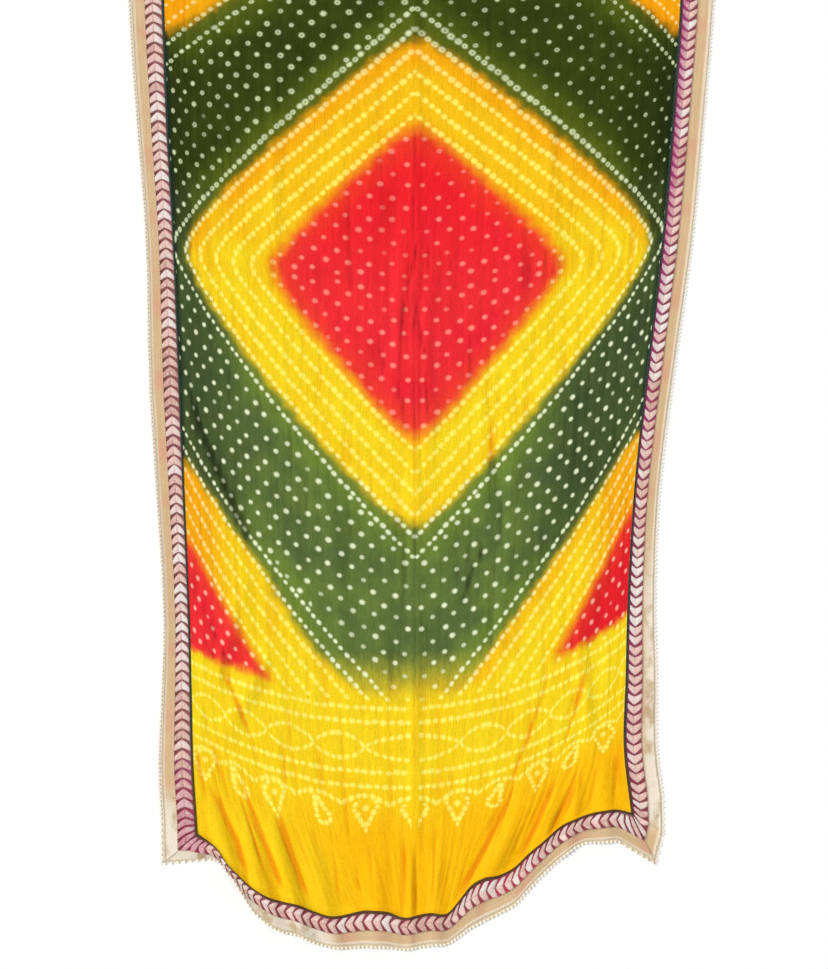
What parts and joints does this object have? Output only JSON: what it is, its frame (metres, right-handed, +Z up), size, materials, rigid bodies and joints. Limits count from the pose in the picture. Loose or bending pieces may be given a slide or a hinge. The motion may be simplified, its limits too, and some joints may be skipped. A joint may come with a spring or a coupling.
{
  "type": "dupatta stole",
  "caption": "Long crinkled tie-dye dupatta stole laid out flat, with piping, folded-leaf gota lace, gold ribbon and picot edging on every side.",
  "frame": {"origin": "middle of the whole stole's box, on the surface that it lies on", "axes": "+Y along the stole towards its far end, +X across it to the right seen from above with +Y away, +Z up out of the surface"},
  "size_m": [0.9806, 2.2282, 0.0115],
  "materials": {
    "crinkled_silk": "crinkled silk-cotton with a soft sheen, tie-dyed in green, red and yellow with pale dots",
    "piping_cord": "matt dark green covered cord",
    "gota_lace": "pale rose metallic ribbon leaves on a maroon ground",
    "gold_tissue": "gold tissue ribbon with a soft metallic sheen",
    "picot_beads": "small cream beads on a netted edge"
  },
  "bodies": {
    "root": {"body_panel": "crinkled_silk", "piping_left": "piping_cord", "piping_right": "piping_cord", "piping_near": "piping_cord", "piping_far": "piping_cord", "gota_lace_left": "gota_lace", "gota_lace_right": "gota_lace", "gota_lace_near": "gota_lace", "gota_lace_far": "gota_lace", "tissue_ribbon_left": "gold_tissue", "tissue_ribbon_right": "gold_tissue", "tissue_ribbon_near": "gold_tissue", "tissue_ribbon_far": "gold_tissue", "picot_edge_left": "picot_beads", "picot_edge_right": "picot_beads", "picot_edge_near": "picot_beads", "picot_edge_far": "picot_beads"}
  },
  "joints": []
}
